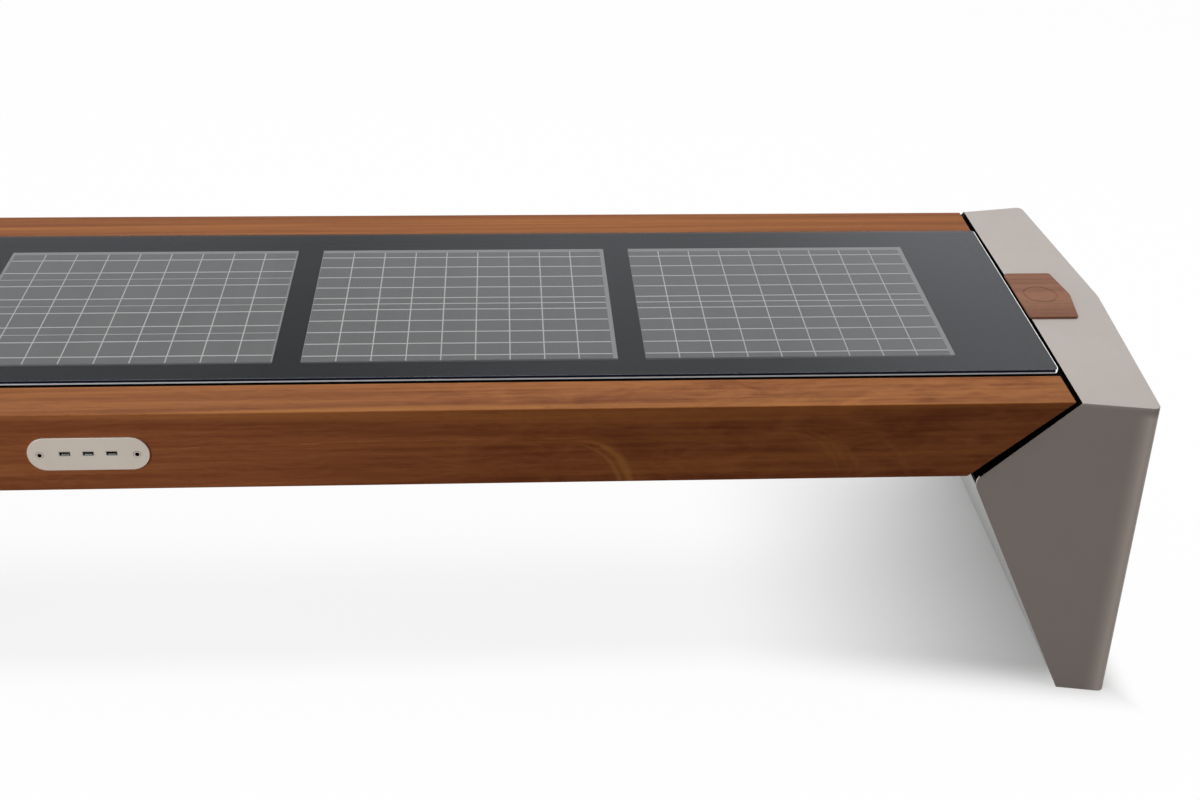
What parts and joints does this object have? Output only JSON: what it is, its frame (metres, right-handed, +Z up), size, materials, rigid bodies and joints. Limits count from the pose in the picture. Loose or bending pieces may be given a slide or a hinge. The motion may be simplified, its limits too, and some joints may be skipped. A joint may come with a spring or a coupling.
{
  "type": "solar charging bench",
  "caption": "Street bench with folded steel legs, hardwood beams and a glazed solar deck that powers USB sockets and wireless charging pads.",
  "frame": {"origin": "on the ground under the middle of the bench", "axes": "+X along the bench to the right as seen from the front, +Y to the back, +Z up"},
  "size_m": [1.768, 0.6058, 0.45],
  "materials": {
    "hardwood": "oiled reddish brown, fine dark grain along the beam",
    "pad_hardwood": "oiled, paler and redder than the beams",
    "cover_glass": "clear, polished edges",
    "solar_cells": "grey cells with silver lines on a blue-grey sheet",
    "leg_steel": "bead-blasted stainless, satin",
    "plate_steel": "satin",
    "frame_steel": "black powder coat",
    "zinc_steel": "zinc plated",
    "black_rubber": "matt",
    "black_plastic": "matt",
    "grey_plastic": "matt",
    "cast_housing": "cast, uncoated"
  },
  "bodies": {
    "root": {"front_beam": "hardwood", "rear_beam": "hardwood", "frame_rail_front": "frame_steel", "frame_rail_rear": "frame_steel", "cross_member_left": "frame_steel", "cross_member_right": "frame_steel", "frame_end_plate_right": "frame_steel", "frame_end_plate_left": "frame_steel", "leg_shell_right": "leg_steel", "leg_shell_left": "leg_steel", "leg_inner_panel_right": "leg_steel", "leg_inner_panel_left": "leg_steel", "leg_base_plate_right": "zinc_steel", "leg_base_plate_left": "zinc_steel", "leg_bracket_right": "zinc_steel", "leg_bracket_left": "zinc_steel", "frame_bolt_front_right": "zinc_steel", "frame_bolt_front_left": "zinc_steel", "frame_bolt_rear_right": "zinc_steel", "frame_bolt_rear_left": "zinc_steel", "beam_spacer_front_right": "zinc_steel", "beam_spacer_front_left": "zinc_steel", "beam_spacer_rear_right": "zinc_steel", "beam_spacer_rear_left": "zinc_steel", "glass_top": "cover_glass", "glass_gasket": "black_rubber", "panel_carrier": "black_plastic", "solar_panel_left": "solar_cells", "solar_panel_middle": "solar_cells", "solar_panel_right": "solar_cells", "junction_box_left": "black_plastic", "junction_box_middle": "black_plastic", "junction_box_right": "black_plastic", "belly_pan": "frame_steel", "hatch_hinge_pin": "zinc_steel", "battery_pack": "grey_plastic", "battery_strap": "zinc_steel", "charge_controller": "cast_housing", "panel_link_left": "black_plastic", "panel_link_right": "black_plastic", "panel_lead": "black_plastic", "battery_lead": "black_plastic", "socket_lead": "black_plastic", "coil_lead_right": "black_plastic", "coil_lead_left": "black_plastic", "socket_plate": "plate_steel", "socket_housing": "black_plastic", "usb_socket_left": "zinc_steel", "usb_socket_middle": "zinc_steel", "usb_socket_right": "zinc_steel", "plate_screw_left": "plate_steel", "plate_screw_right": "plate_steel", "charging_pad_right": "pad_hardwood", "charging_pad_left": "pad_hardwood", "charging_coil_right": "black_plastic", "charging_coil_left": "black_plastic"},
    "hatch": {"service_hatch": "frame_steel"},
    "lock": {"hatch_lock": "zinc_steel"}
  },
  "joints": [
    {"name": "hatch_swing", "type": "hinge", "parent": "root", "child": "hatch", "pos_m": [0, 0.16, 0.3433], "axis": [1, 0, 0], "range_deg": [0, 90]},
    {"name": "lock_turn", "type": "hinge", "parent": "hatch", "child": "lock", "pos_m": [0, -0.14, 0.348], "axis": [0, 0, -1], "range_deg": [0, 90]}
  ]
}
